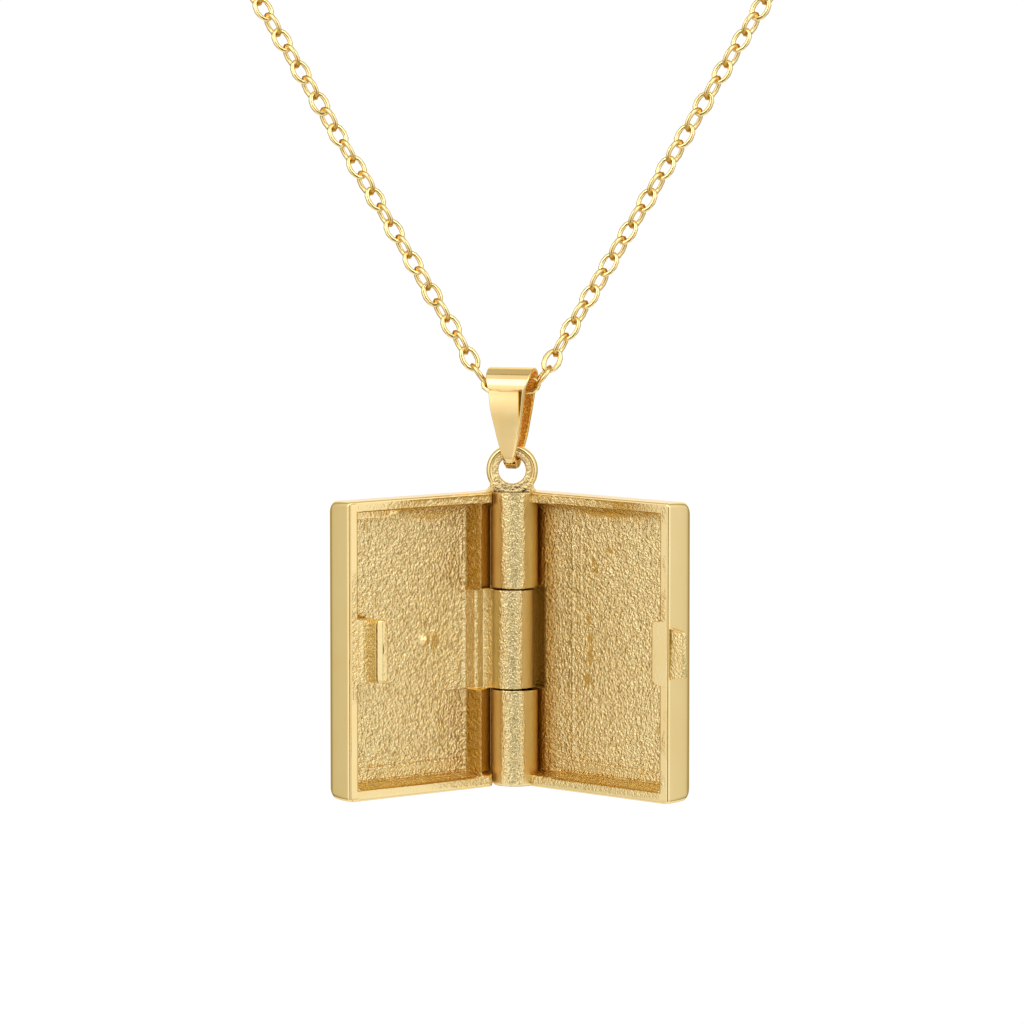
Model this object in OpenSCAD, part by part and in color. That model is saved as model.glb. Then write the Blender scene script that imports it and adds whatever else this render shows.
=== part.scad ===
// Rectangular book locket, hanging open on a fine cable chain.
// Origin: middle of the clasp, at the nape. Front faces -Y, +Z is up. Millimetres.
// A leaf is built with its hinge axis on Z, running out along +X,
// its open side towards -Y and its polished back towards +Y.

/* [Leaves] */
// Width of a leaf, from the hinge axis to its free edge
leaf_w = 14.2; // [12:0.1:18]
// Height of a leaf
leaf_h = 20; // [18:0.5:26]
// Thickness of one leaf
leaf_t = 2.4; // [2.2:0.05:2.8]
// Thickness of the tray's floor
floor_t = 0.85; // [0.5:0.05:1]
// Thickness of the rim round the tray
rim_t = 0.73; // [0.6:0.01:1]
// Rounding of the long edges at the back
edge_r = 0.8; // [0.3:0.05:0.9]
// Angle between the two open leaves, seen from the front
open_angle = 95.6; // [60:0.1:150]

/* [Hinge] */
// Outer radius of the two knuckles on the right leaf
knuckle_r = 1.59; // [1.4:0.01:1.65]
// Outer radius of the middle knuckle, on the left leaf
mid_knuckle_r = 1.5; // [1.3:0.01:1.52]
// Length of the middle knuckle
mid_knuckle_len = 6.74; // [5:0.02:8]
// Gap between neighbouring knuckles
knuckle_gap = 0.06; // [0.04:0.01:0.12]
// Radius of the hinge pin
pin_r = 0.4; // [0.3:0.01:0.5]
// Radial running clearance of the pin in the middle knuckle
pin_play = 0.03; // [0.02:0.01:0.06]

/* [Catch] */
// Height of the tongue and of the pad that it snaps behind
catch_h = 4.2; // [3:0.1:6]
// How far the tongue stands above the rim
tongue_rise = 0.87; // [0.6:0.01:1.1]
// How far the thumb tab stands out from the free edge
tab_out = 1.2; // [0.8:0.1:1.6]

/* [Eye and bail] */
// Outer radius of the eye on top of the hinge
eye_r = 1.75; // [1.5:0.05:2]
// Radius of the eye's wire
eye_wire_r = 0.415; // [0.35:0.005:0.5]
// Height of the eye's centre above the leaves
eye_rise = 1.4; // [1.3:0.05:1.6]
// Outer radius of the bail's rolled top
roll_r = 1.5; // [1.4:0.05:1.8]
// Thickness of the bail's sheet
sheet_t = 0.3; // [0.2:0.05:0.3]
// Turn of the bail about the vertical
bail_turn = 13.3; // [0:0.1:15]

/* [Chain] */
// Diameter of the round envelope of the links
chain_d = 1.2; // [1:0.05:1.25]
// Mean radius of the clasp's ring
clasp_r = 2.3; // [2:0.1:3]

/* [Hidden] */
$fn = 48;

// The bottom of the chain's V, in the bail's roll
roll_c = [0, -118, -112];
// The bail and the eye hang this far to the right of it
bail_x = 0.05;
bail_drop = 5.45;
eye_mean_r = eye_r - eye_wire_r;
eye_c = roll_c + [bail_x, 0, -bail_drop];
hinge_c = [0.22, roll_c[1], eye_c[2] - eye_rise - leaf_h / 2];
leaf_turn = 90 - open_angle / 2;

// The two rims stay just clear of each other when the locket is shut
rim_gap = 0.03;
// The leaves' spines stay this far from the hinge's middle plane
spine_gap = 0.1;
tray_d = leaf_t - floor_t;
// From the hinge axis to the tray's wall beside the hinge
spine_w = 2.9;
// Running room round the knuckles of the other leaf
knuckle_room = 0.05;
mid_shift = [0.13, 0.11];
mid_z = mid_knuckle_len / 2;
end_z = mid_z + knuckle_gap;
inner_z = leaf_h / 2 - rim_t;
// A cut runs this far past the solid that it opens
past = 1;
// Blocks and the tab reach this far into the walls that carry them
wall_bite = 0.3;
floor_bite = 0.1;
// The free back edge is rounded less than the long ones
free_edge_r = 0.45;
// Where the spine's slope meets the trough
slope_foot = [1.45, 0.9];
slope_lip = 0.1;
// The coves' round reaches over the tray's wall line by this much
cove_over = 0.2;
// The pin sits fast in the end knuckles and stops inside the top one
pin_seat_play = 0.01;
pin_top_cover = 1;
pin_end_gap = 0.1;

catch_z = 0;
catch_in = 1.62;
tongue_gap = 0.08;
tongue_t = 0.87;
tab_h = 3.46;
tab_t = 0.4;
tab_back = 0.22;
tab_taper = 0.33;

// Half widths of the bail seen from the front, with heights from the roll's middle
bail_outline = [[1.6, 1.6], [1.56, 1.2], [1.5, 0.8], [1.27, 0], [1.05, -1.66], [0.79, -3.29], [0.59, -4.1], [0.42, -4.6], [0.38, -5.5]];
bail_tip_r = 0.95;
bail_tip_z = -4.42;
bail_seat_r = 0.79;
// Room under the middle of the eye's wire, which curves down to the edges of the bail's seat
seat_play = 0.25;
bail_seat_z = -bail_drop + eye_mean_r - eye_wire_r - seat_play + bail_seat_r;
arc_step = 7.5;

// Right half of the chain, from the bail up over the chest, round the neck and
// to the clasp: X and Y from the roll's middle, and Z above it
chain_half = [
    [0, 0, 0.2], [0.8, 0, 0.2], [1.45, 0.05, 0.28], [2.1, 0.1, 0.75], [2.6, 0.25, 1.58],
    [3.1, 0.5, 2.5], [3.73, 0.75, 3.6], [5.5, 1.4, 6.55], [9.8, 2.9, 13.7], [16.7, 5.4, 25.2],
    [27, 9.5, 41], [38, 17, 57], [47.5, 29, 71.5], [54.5, 44, 84], [58.5, 60, 94],
    [58, 77, 102], [52, 92, 107.5], [41, 104, 110.5], [27, 112, 111.7], [13, 117, 112],
    [4.6, 118, 112]];
// The V of the chain leans sideways by this share of its way back, until the neck
chain_sway = 0.055;
chain_sway_end = 44;
// Inside the bail the chain turns with the roll by this share of its way out, up to a height
chain_twist = 0.17;
chain_twist_top = 2.5;
chain_sides = 8;
steps_per_point = 2;
// The tube's rings are turned to this direction, which the route never runs along
ring_up = [0, 0.6, 0.8];

clasp_wire_r = 0.55;
clasp_loop_r = 0.8;
clasp_loop_wire_r = 0.28;
clasp_loop_x = 3.45;

// A leaf's coordinates are taken to its place at the hinge
module at_leaf(left) {
    translate(hinge_c)
        mirror([left ? 1 : 0, 0, 0])
            rotate([0, 0, -leaf_turn])
                children();
}

// Section of a leaf across its width, with its two back edges rounded
module leaf_side() {
    flat_h = leaf_h - 2 * edge_r;
    translate([rim_gap, -leaf_h / 2])
        square([leaf_t - edge_r - rim_gap, leaf_h]);
    translate([rim_gap, -flat_h / 2])
        square([leaf_t - rim_gap, flat_h]);
    for (s = [-1, 1])
        translate([leaf_t - edge_r, s * flat_h / 2])
            circle(edge_r);
}

// Plan of a leaf from above, with its free back edge rounded
module leaf_plan() {
    translate([spine_gap, rim_gap - past])
        square([leaf_w - spine_gap, leaf_t - free_edge_r + past - rim_gap]);
    translate([spine_gap, rim_gap])
        square([leaf_w - free_edge_r - spine_gap, leaf_t + past]);
    translate([leaf_w - free_edge_r, leaf_t - free_edge_r])
        circle(free_edge_r);
}

module leaf_block() {
    intersection() {
        rotate([90, 0, 90])
            linear_extrude(leaf_w + past)
                leaf_side();
        translate([0, 0, -leaf_h])
            linear_extrude(2 * leaf_h)
                leaf_plan();
    }
}

module tray() {
    translate([spine_w, -past, -inner_z])
        cube([leaf_w - rim_t - spine_w, tray_d + past, 2 * inner_z]);
}

// Trough in which the other leaf's knuckle turns
module trough(z0, z1, r) {
    translate([0, 0, z0])
        cylinder(h = z1 - z0, r = r);
}

// Slope from the top of the spine's wall down to the trough
module spine_slope(z0, z1) {
    translate([0, 0, z0])
        linear_extrude(z1 - z0)
            polygon([[spine_w + slope_lip, -past], [spine_w - slope_lip, slope_lip], slope_foot, [slope_foot[1], -past]]);
}

// Cove that runs from a leaf's own knuckle down to the tray's floor
module cove(z0, z1) {
    translate([spine_w + cove_over, -cove_over, z0])
        cylinder(h = z1 - z0, r = tray_d + cove_over);
}

// One pad or block of the catch, standing on the tray's floor at the free edge
module catch_block(inner_u, top_v) {
    translate([inner_u, top_v, catch_z - catch_h / 2])
        cube([leaf_w - wall_bite - inner_u, tray_d + floor_bite - top_v, catch_h]);
}

module thumb_tab() {
    translate([0, tab_back, catch_z])
        rotate([-90, 0, 0])
            linear_extrude(tab_t)
                polygon([
                    [leaf_w - wall_bite, -tab_h / 2], [leaf_w, -tab_h / 2],
                    [leaf_w + tab_out, -tab_h / 2 + tab_taper], [leaf_w + tab_out, tab_h / 2 - tab_taper],
                    [leaf_w, tab_h / 2], [leaf_w - wall_bite, tab_h / 2]]);
}

// Ring with a short neck that grows out of the top knuckle
module eye() {
    neck_t = 1.1;
    root_w = 1.3;
    flare_w = 1.52;
    neck_w = 1.42;
    shoulder = [1.1, -0.7];
    // The neck ends just short of the eye's hole
    hole_over = 0.03;
    // It flares out just above the leaves, which turn under it
    root_z = -eye_rise - 0.1;
    flare_z = -eye_rise + 0.03;
    waist_z = -eye_rise + 0.3;
    translate(eye_c) {
        rotate([90, 0, 0])
            rotate_extrude()
                translate([eye_mean_r, 0])
                    circle(eye_wire_r);
        translate([0, neck_t / 2, 0])
            rotate([90, 0, 0])
                linear_extrude(neck_t)
                    difference() {
                        polygon([
                            [-root_w, root_z], [root_w, root_z],
                            [root_w, flare_z], [flare_w, flare_z], [neck_w, waist_z], shoulder,
                            [-shoulder[0], shoulder[1]], [-neck_w, waist_z], [-flare_w, flare_z], [-root_w, flare_z]]);
                        circle(eye_mean_r - eye_wire_r + hole_over);
                    }
    }
}

module leaf_right() {
    color("gold")
        difference() {
            union() {
                at_leaf(false) {
                    difference() {
                        leaf_block();
                        tray();
                        trough(-end_z, end_z, knuckle_r + mid_shift[0] + knuckle_room);
                        spine_slope(-end_z, end_z);
                        cove(end_z, inner_z);
                        cove(-inner_z, -end_z);
                    }
                    for (z0 = [end_z, -leaf_h / 2])
                        translate([0, 0, z0])
                            cylinder(h = leaf_h / 2 - end_z, r = knuckle_r);
                    catch_block(leaf_w - catch_in, rim_gap);
                    thumb_tab();
                }
                eye();
            }
            translate(hinge_c - [0, 0, leaf_h / 2 + past])
                cylinder(h = leaf_h - pin_top_cover + past, r = pin_r + pin_seat_play);
        }
}

module leaf_left() {
    color("goldenrod")
        at_leaf(true)
            difference() {
                union() {
                    difference() {
                        leaf_block();
                        tray();
                        for (s = [-1, 1])
                            trough(s < 0 ? -leaf_h : mid_z, s < 0 ? -mid_z : leaf_h, knuckle_r + knuckle_room);
                        spine_slope(mid_z, inner_z);
                        spine_slope(-inner_z, -mid_z);
                        cove(-mid_z, mid_z);
                    }
                    translate([mid_shift[0], mid_shift[1], -mid_z])
                        cylinder(h = mid_knuckle_len, r = mid_knuckle_r);
                    catch_block(leaf_w - catch_in - tongue_gap, rim_gap);
                    translate([leaf_w - catch_in - tongue_gap - tongue_t, -tongue_rise, catch_z - catch_h / 2])
                        cube([tongue_t, tray_d + tongue_rise + floor_bite, catch_h]);
                }
                translate([0, 0, -leaf_h])
                    cylinder(h = 2 * leaf_h, r = pin_r + pin_play);
            }
}

module hinge_pin() {
    color("darkgoldenrod")
        translate(hinge_c - [0, 0, leaf_h / 2])
            cylinder(h = leaf_h - pin_top_cover - pin_end_gap, r = pin_r);
}

// Drop shape between a round top of radius r0 and a small round end, seen from the side
function drop_side(r0, r1, z1) =
    let (lean = asin((r0 - r1) / -z1))
    concat(
        [for (a = [-lean : arc_step : 180 + lean]) r0 * [cos(a), sin(a)]],
        [for (a = [180 + lean : arc_step : 360 - lean]) [0, z1] + r1 * [cos(a), sin(a)]]);

module bail() {
    color("khaki")
        translate(roll_c + [bail_x, 0, 0])
            rotate([0, 0, -bail_turn])
                intersection() {
                    rotate([90, 0, 90])
                        translate([0, 0, -roll_r * 2])
                            linear_extrude(roll_r * 4)
                                difference() {
                                    polygon(drop_side(roll_r, bail_tip_r, bail_tip_z));
                                    polygon(drop_side(roll_r - sheet_t, bail_seat_r, bail_seat_z));
                                }
                    translate([0, roll_r * 2, 0])
                        rotate([90, 0, 0])
                            linear_extrude(roll_r * 4)
                                polygon(concat(
                                    bail_outline,
                                    [for (i = [len(bail_outline) - 1 : -1 : 0]) [-bail_outline[i][0], bail_outline[i][1]]]));
                }
}

// The whole route runs from the clasp down the left strand and up the right one
function strand_point(p, side) =
    roll_c + [
        side * p[0] - chain_sway * p[1] * max(0, 1 - p[1] / chain_sway_end),
        p[1] - side * chain_twist * p[0] * max(0, 1 - p[2] / chain_twist_top),
        p[2]];

chain_points = concat(
    [for (i = [len(chain_half) - 1 : -1 : 1]) strand_point(chain_half[i], -1)],
    [for (p = chain_half) strand_point(p, 1)]);

function gap_after(p, i) = norm(p[i + 1] - p[i]);

// Direction of the curve at point i, from its neighbours and their distances
function slope_at(p, i) =
    i == 0 ? (p[1] - p[0]) / gap_after(p, 0)
    : i == len(p) - 1 ? (p[i] - p[i - 1]) / gap_after(p, i - 1)
    : let (a = gap_after(p, i - 1), b = gap_after(p, i))
        ((p[i] - p[i - 1]) / a * b + (p[i + 1] - p[i]) / b * a) / (a + b);

// Point at share t of the stretch that starts at point i
function curve_at(p, i, t) =
    let (h = gap_after(p, i))
    (2 * t ^ 3 - 3 * t ^ 2 + 1) * p[i] + (t ^ 3 - 2 * t ^ 2 + t) * h * slope_at(p, i)
    + (3 * t ^ 2 - 2 * t ^ 3) * p[i + 1] + (t ^ 3 - t ^ 2) * h * slope_at(p, i + 1);

function smooth_route(p, n) = concat(
    [for (i = [0 : len(p) - 2], k = [0 : n - 1]) curve_at(p, i, k / n)],
    [p[len(p) - 1]]);

function unit(v) = v / norm(v);

// Closed tube with flat ends along the points of a route
module tube(route, d, sides) {
    n = len(route);
    rings = [for (i = [0 : n - 1])
        let (
            along = unit(route[min(i + 1, n - 1)] - route[max(i - 1, 0)]),
            side = unit(cross(along, ring_up)),
            up = cross(side, along))
        for (k = [0 : sides - 1])
            route[i] + d / 2 * (cos(360 * (k + 0.5) / sides) * side + sin(360 * (k + 0.5) / sides) * up)];
    faces = concat(
        [[for (k = [sides - 1 : -1 : 0]) k]],
        [for (i = [0 : n - 2], k = [0 : sides - 1])
            [i * sides + k, i * sides + (k + 1) % sides, (i + 1) * sides + (k + 1) % sides, (i + 1) * sides + k]],
        [[for (k = [0 : sides - 1]) (n - 1) * sides + k]]);
    polyhedron(points = rings, faces = faces, convexity = 10);
}

module chain() {
    color("gold")
        tube(smooth_route(chain_points, steps_per_point), chain_d, chain_sides);
}

// Plain closed spring ring with a small loop at each side for the chain's ends
module clasp() {
    color("khaki")
        rotate([90, 0, 0]) {
            rotate_extrude()
                translate([clasp_r, 0])
                    circle(clasp_wire_r);
            for (s = [-1, 1])
                translate([s * clasp_loop_x, 0, 0])
                    rotate_extrude()
                        translate([clasp_loop_r, 0])
                            circle(clasp_loop_wire_r);
        }
}

chain();
clasp();
bail();
leaf_right();
leaf_left();
hinge_pin();
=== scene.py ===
import random
from math import asin, atan2, copysign, cos, degrees, exp, hypot, pi, radians, sin, sqrt

import bmesh
import bpy
from mathutils import Matrix, Vector, noise


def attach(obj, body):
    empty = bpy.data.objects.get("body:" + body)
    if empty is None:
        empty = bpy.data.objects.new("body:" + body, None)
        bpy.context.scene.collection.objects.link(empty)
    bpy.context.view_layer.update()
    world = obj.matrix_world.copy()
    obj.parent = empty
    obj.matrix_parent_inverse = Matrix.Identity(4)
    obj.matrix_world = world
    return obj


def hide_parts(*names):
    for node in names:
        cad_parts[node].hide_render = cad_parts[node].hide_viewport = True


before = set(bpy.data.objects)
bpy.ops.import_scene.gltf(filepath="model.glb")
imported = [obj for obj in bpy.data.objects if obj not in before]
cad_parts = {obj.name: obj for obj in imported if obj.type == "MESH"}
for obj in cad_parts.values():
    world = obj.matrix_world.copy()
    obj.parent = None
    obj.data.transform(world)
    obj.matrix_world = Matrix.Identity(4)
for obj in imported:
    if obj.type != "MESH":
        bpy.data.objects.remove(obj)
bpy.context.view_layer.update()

MM = 0.001

# Places and sizes that the solids give. On a leaf, u runs from the hinge's axis to the free edge, v back from
# the plane where the leaves meet, and z up from the leaf's middle.
ROLL = Vector((0, -118, -112))
BAIL_X = 0.05
BAIL_DROP = 5.45
EYE = ROLL + Vector((BAIL_X, 0, -BAIL_DROP))
EYE_R = 1.75
EYE_RISE = 1.4
LEAF_W, LEAF_H, LEAF_T = 14.2, 20.0, 2.4
HINGE = Vector((0.22, ROLL.y, EYE.z - EYE_RISE - LEAF_H / 2))
LEAF_TURN = radians(42.2)
BAIL_TURN = radians(13.3)
FLOOR_V = 1.55
RIM_V = 0.03
RIM_T = 0.73
TRAY_U, TRAY_Z = LEAF_W - RIM_T, LEAF_H / 2 - RIM_T
SPINE_GAP = 0.1
FLOOR_U = 3.3
KNUCKLE_R = 1.59
MID_KNUCKLE_R = 1.5
MID_SHIFT = Vector((0.13, 0.11, 0))
MID_Z = 3.37
END_Z = 3.43
PIN_HOLE_R = 0.42
CATCH_Z = 2.1
CATCH_IN = 1.62
TONGUE_GAP = 0.08
TONGUE_T = 0.87
TONGUE_RISE = 0.87
PAD_U = LEAF_W - CATCH_IN
TONGUE_U = PAD_U - TONGUE_GAP
PAD_R = 0.3
TAB_OUT = 1.2


def srgb(hex_colour):
    """Linear colour, with alpha, of an sRGB hex string."""
    parts = [int(hex_colour[i:i + 2], 16) / 255 for i in (0, 2, 4)]
    return tuple(c / 12.92 if c <= 0.04045 else ((c + 0.055) / 1.055) ** 2.4 for c in parts) + (1,)


def clamp(x, low=0.0, high=1.0):
    return max(low, min(high, x))


def drift(*place):
    """Smooth noise, about -1 to 1."""
    return noise.noise(place)


def ramp(x, width):
    """Rises from 0 to 1 as x goes from 0 to width, with soft ends."""
    t = clamp(x / width)
    return 0.4 * t + 0.6 * t * t * (3 - 2 * t)


def mix(a, b, t):
    return a + (b - a) * t


def add_object(name, data):
    obj = bpy.data.objects.new(name, data)
    bpy.context.scene.collection.objects.link(obj)
    return obj


# Camera, at the photograph's angle: a little to the right and from slightly above
CAM_AZIMUTH = radians(2.52)
CAM_ELEVATION = radians(5.2)
CAM_DISTANCE = 390
CAM_TARGET = Vector((0.037, ROLL.y, -120.31))
CAM_LENS = 202.9

cam = add_object("camera", bpy.data.cameras.new("camera"))
back = Vector((sin(CAM_AZIMUTH) * cos(CAM_ELEVATION),
               -cos(CAM_AZIMUTH) * cos(CAM_ELEVATION), sin(CAM_ELEVATION)))
cam.location = (CAM_TARGET + back * CAM_DISTANCE) * MM
cam.rotation_mode = "QUATERNION"
cam.rotation_quaternion = (-back).to_track_quat("-Z", "Y")
cam.data.lens = CAM_LENS
cam.data.sensor_width = 36
cam.data.clip_start = 0.01
cam.data.clip_end = 20
bpy.context.scene.camera = cam
bpy.context.scene.view_settings.view_transform = "Standard"


# Materials

def add_node(tree, kind, settings=None, links=None):
    """Adds a shader node. Links maps an input to a value, to another node's output, or to a node for its
    first output."""
    node = tree.nodes.new("ShaderNode" + kind)
    for key, value in (settings or {}).items():
        setattr(node, key, value)
    for key, value in (links or {}).items():
        if isinstance(value, bpy.types.Node):
            value = value.outputs[0]
        if isinstance(value, bpy.types.NodeSocket):
            tree.links.new(value, node.inputs[key])
        else:
            node.inputs[key].default_value = value
    return node


def new_material(name):
    mat = bpy.data.materials.new(name)
    mat.use_nodes = True
    mat.node_tree.nodes.clear()
    return mat, mat.node_tree


def ramp_stops(node, stops):
    """Sets a colour ramp's stops from (place, colour) pairs."""
    steps = node.color_ramp.elements
    while len(steps) > 1:
        steps.remove(steps[-1])
    steps[0].position, steps[0].color = stops[0]
    for place, colour in stops[1:]:
        steps.new(place).color = colour


# Yellow gold plate on brass, as it leaves the plating bath
GOLD = "F2D799"
# The next three colours paint shade: into recesses (the first is also the hinge pin's darker gold), into the grain's
# valleys together with a duller plate, and almost black into the deepest corners
GOLD_DARK_AND_SHADE = "C4963E"
GOLD_DULL_AND_SHADE = "B4944A"
GOLD_PAINTED_BLACK_SHADE = "2B1808"
GOLD_EDGE = "FFF0CF"
GOLD_PALE = "F4DCA2"
GOLD_MATT = "F3E0AC"


def skin_gold(name, base=GOLD, pale=GOLD_PALE, low=GOLD_DARK_AND_SHADE):
    """Gold plate on cast brass, rolled sheet or link wire. The attribute "finish" gives how rough the skin is (red),
    how far a point lies in a recess, which paints shade in (green; from 1 to 2 the painted shade goes almost
    black), the height of the grain (blue) and how satin a smooth part is (alpha): tops are burnished pale, and
    the valleys keep a darker, duller plate that is partly painted shade. Rough skin carries a grit 0.1 to 0.2 mm
    across."""
    mat, tree = new_material(name)
    place = add_node(tree, "TexCoord").outputs["Object"]
    finish_and_painted_shade = add_node(tree, "Attribute", {"attribute_name": "finish_and_painted_shade"})
    parts = add_node(tree, "SeparateColor", links={"Color": finish_and_painted_shade})
    rough, deep, height = (parts.outputs[c] for c in ("Red", "Green", "Blue"))
    grit = add_node(tree, "TexNoise", links={"Vector": place, "Scale": 8500, "Detail": 2, "Roughness": 0.6})
    pebble = add_node(tree, "TexVoronoi", {"feature": "SMOOTH_F1"}, {
        "Vector": place, "Scale": 5200, "Smoothness": 0.5, "Randomness": 1.0})
    cloud = add_node(tree, "TexNoise", links={"Vector": place, "Scale": 420, "Detail": 2, "Roughness": 0.5})
    fine = add_node(tree, "Math", {"operation": "MULTIPLY"}, {0: grit, 1: rough})
    coarse = add_node(tree, "Math", {"operation": "MULTIPLY"}, {0: pebble, 1: rough})
    bump = add_node(tree, "Bump", {"invert": True}, {"Height": coarse, "Strength": 1.0, "Distance": 0.00006})
    bump = add_node(tree, "Bump", links={"Height": fine, "Strength": 1.0, "Distance": 0.00009, "Normal": bump})
    tone = add_node(tree, "ValToRGB", links={"Fac": cloud})
    ramp_stops(tone, [(0.3, srgb(base)), (0.7, srgb(pale))])
    # Valleys of the grain get a duller, darker plate: partly plating residue, partly painted shade that deepens the
    # grain
    dull_and_shade = add_node(tree, "MapRange", links={
        "Value": height, "From Min": 0.15, "From Max": 0.5, "To Min": 0.4, "To Max": 0.0})
    dull_and_shade = add_node(tree, "Math", {"operation": "MULTIPLY"}, {0: dull_and_shade, 1: rough})
    # Past 1 on the green channel, the painted shade in a recess turns almost black
    burnt = add_node(tree, "Math", {"operation": "SUBTRACT", "use_clamp": True}, {0: deep, 1: 1.0})
    colour = tone
    # Matt pale colour on rough skin, then painted shade: a duller plate in the valleys, shade in recesses, almost
    # black shade in the deepest corners
    for share, tint in ((rough, GOLD_MATT), (dull_and_shade, GOLD_DULL_AND_SHADE), (deep, low), (burnt, GOLD_PAINTED_BLACK_SHADE)):
        colour = add_node(tree, "Mix", {"data_type": "RGBA"}, {
            "Factor": share, "A": colour, "B": srgb(tint)}).outputs["Result"]
    spread = add_node(tree, "MapRange", links={
        "Value": rough, "From Min": 0.0, "From Max": 1.0, "To Min": 0.1, "To Max": 0.16})
    satin = add_node(tree, "Math", {"operation": "MULTIPLY_ADD"}, {0: finish_and_painted_shade.outputs["Alpha"], 1: 0.3, 2: spread})
    patchy = add_node(tree, "Math", {"operation": "MULTIPLY_ADD"}, {0: cloud, 1: 0.06, 2: -0.03})
    roughness = add_node(tree, "Math", {"operation": "ADD"}, {0: satin, 1: patchy})
    shader = add_node(tree, "BsdfPrincipled", links={
        "Base Color": colour, "Metallic": 1.0, "Roughness": roughness, "Normal": bump,
        "Specular Tint": srgb(GOLD_EDGE)})
    add_node(tree, "OutputMaterial", links={"Surface": shader})
    return mat


def polished_gold(name, base, roughness, ripple):
    """Gold plate on buffed sheet or drawn wire: almost a mirror, with faint buffing ripples
    about 1 mm apart that bend the reflections a little."""
    mat, tree = new_material(name)
    place = add_node(tree, "TexCoord").outputs["Object"]
    wave = add_node(tree, "TexNoise", links={"Vector": place, "Scale": 900, "Detail": 2, "Roughness": 0.5})
    bump = add_node(tree, "Bump", links={"Height": wave, "Strength": ripple, "Distance": 0.00003})
    tone = add_node(tree, "ValToRGB", links={"Fac": wave})
    ramp_stops(tone, [(0.35, srgb(base)), (0.65, srgb(GOLD_PALE))])
    spread = add_node(tree, "MapRange", links={"Value": wave, "To Min": roughness * 0.8, "To Max": roughness * 1.3})
    shader = add_node(tree, "BsdfPrincipled", links={
        "Base Color": tone, "Metallic": 1.0, "Roughness": spread, "Normal": bump,
        "Specular Tint": srgb(GOLD_EDGE)})
    add_node(tree, "OutputMaterial", links={"Surface": shader})
    return mat


CAST = skin_gold("gold_plated_cast_brass")
# The rolled sheet's third colour is its painted shade in recesses
SHEET = skin_gold("gold_plated_rolled_sheet", "F0CE8C", "F3D89C", "ECAF42")
LINK_WIRE_GOLD = skin_gold("gold_plated_chain_wire", "F0D38F", "F4DC9E")
WIRE = polished_gold("gold_plated_drawn_wire", GOLD, 0.12, 0.2)
PIN = polished_gold("gold_plated_pin_wire", GOLD_DARK_AND_SHADE, 0.22, 0.3)


# Meshes

def mesh_object(name, bm):
    mesh = bpy.data.meshes.new(name)
    bm.to_mesh(mesh)
    bm.free()
    return add_object(name, mesh)


def make_piece(name, bm, body, material, replaced=(), sharp=None):
    """Turns a bmesh in millimetres into a finished object that rides on a body."""
    bmesh.ops.recalc_face_normals(bm, faces=bm.faces)
    if sharp is not None:
        for edge in bm.edges:
            if len(edge.link_faces) == 2 and edge.calc_face_angle(0) > sharp:
                edge.smooth = False
    for face in bm.faces:
        face.smooth = True
    bmesh.ops.scale(bm, vec=(MM, MM, MM), verts=bm.verts)
    obj = mesh_object(name, bm)
    obj.data.materials.append(material)
    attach(obj, body)
    if replaced:
        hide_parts(*replaced)


def lines(*spans):
    """Grid lines along one direction, from (start, end, step) spans that follow each other."""
    out = []
    for start, end, step in spans:
        count = max(1, round((end - start) / step))
        out += [start + (end - start) * i / count for i in range(count)]
    return out + [spans[-1][1]]


def verts_in(geom):
    """The vertices of what a bmesh operator gives back."""
    return [g for g in geom if isinstance(g, bmesh.types.BMVert)]


def next_ring(bm, edges, places):
    """Extrudes an open border where it lies. Gives the new border's edges, and its vertices with the
    places that the old ones had."""
    spots = {tuple(round(c, 6) for c in vert.co): place for vert, place in places.items()}
    grown = bmesh.ops.extrude_edge_only(bm, edges=edges)["geom"]
    border = [g for g in grown if isinstance(g, bmesh.types.BMEdge) and len(g.link_faces) == 1]
    return border, {vert: spots[tuple(round(c, 6) for c in vert.co)] for vert in verts_in(grown)}


def leaf_matrix(left):
    """Puts a piece drawn in (u, v, z) on the open right leaf, or mirrored on the left one."""
    mirror = Matrix.Diagonal((-1 if left else 1, 1, 1, 1))
    return Matrix.Translation(HINGE) @ mirror @ Matrix.Rotation(-LEAF_TURN, 4, "Z")


def set_finish_and_shade(bm, verts, rough, deep=0.0, satin=0.0):
    """Gives vertices one roughness, amount of painted shade and satin, and makes the attribute where there is none
    yet.
    """
    layer = bm.verts.layers.float_color.get("finish_and_painted_shade") or bm.verts.layers.float_color.new("finish_and_painted_shade")
    for v in verts:
        v[layer] = (rough, deep, 0.6, satin)
    return layer


def bell(x, width):
    """1 at 0, falling to nothing at plus or minus twice the width."""
    return exp(-(x / width) ** 2)


# Patches where the floor's skin is smeared smooth: u, z, half width, half height
SMEARS = {
    True: [(6.0, 8.53, 2.5, 0.28), (6.6, -8.35, 3.2, 0.16), (5.72, 0.0, 0.3, 0.62)],
    False: [(7.5, 8.72, 2.9, 0.34), (5.4, 1.5, 0.25, 0.5), (5.6, -0.9, 0.3, 0.75),
            (5.35, -2.5, 0.28, 0.55), (7.4, 6.3, 0.5, 0.24), (6.1, 4.9, 0.28, 0.3), (5.5, 0.25, 0.28, 0.4),
            (5.6, -8.6, 1.35, 0.2), (5.9, 5.4, 0.2, 0.3)],
}
# Pits in the floor: u, z, radius
PITS = {
    True: [(6.1, -7.5, 0.2), (9.0, -8.2, 0.18), (4.4, -6.9, 0.16), (8.9, -6.9, 0.12), (10.4, -8.0, 0.12)],
    False: [(10.2, -6.6, 0.14), (4.0, 3.2, 0.14), (9.4, 5.0, 0.1), (6.8, -5.2, 0.1), (7.9, -6.9, 0.13)],
}
# A mound in the left floor: u, z, radius, height
MOUND = (6.6, 0.2, 0.6, 0.2)
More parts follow.
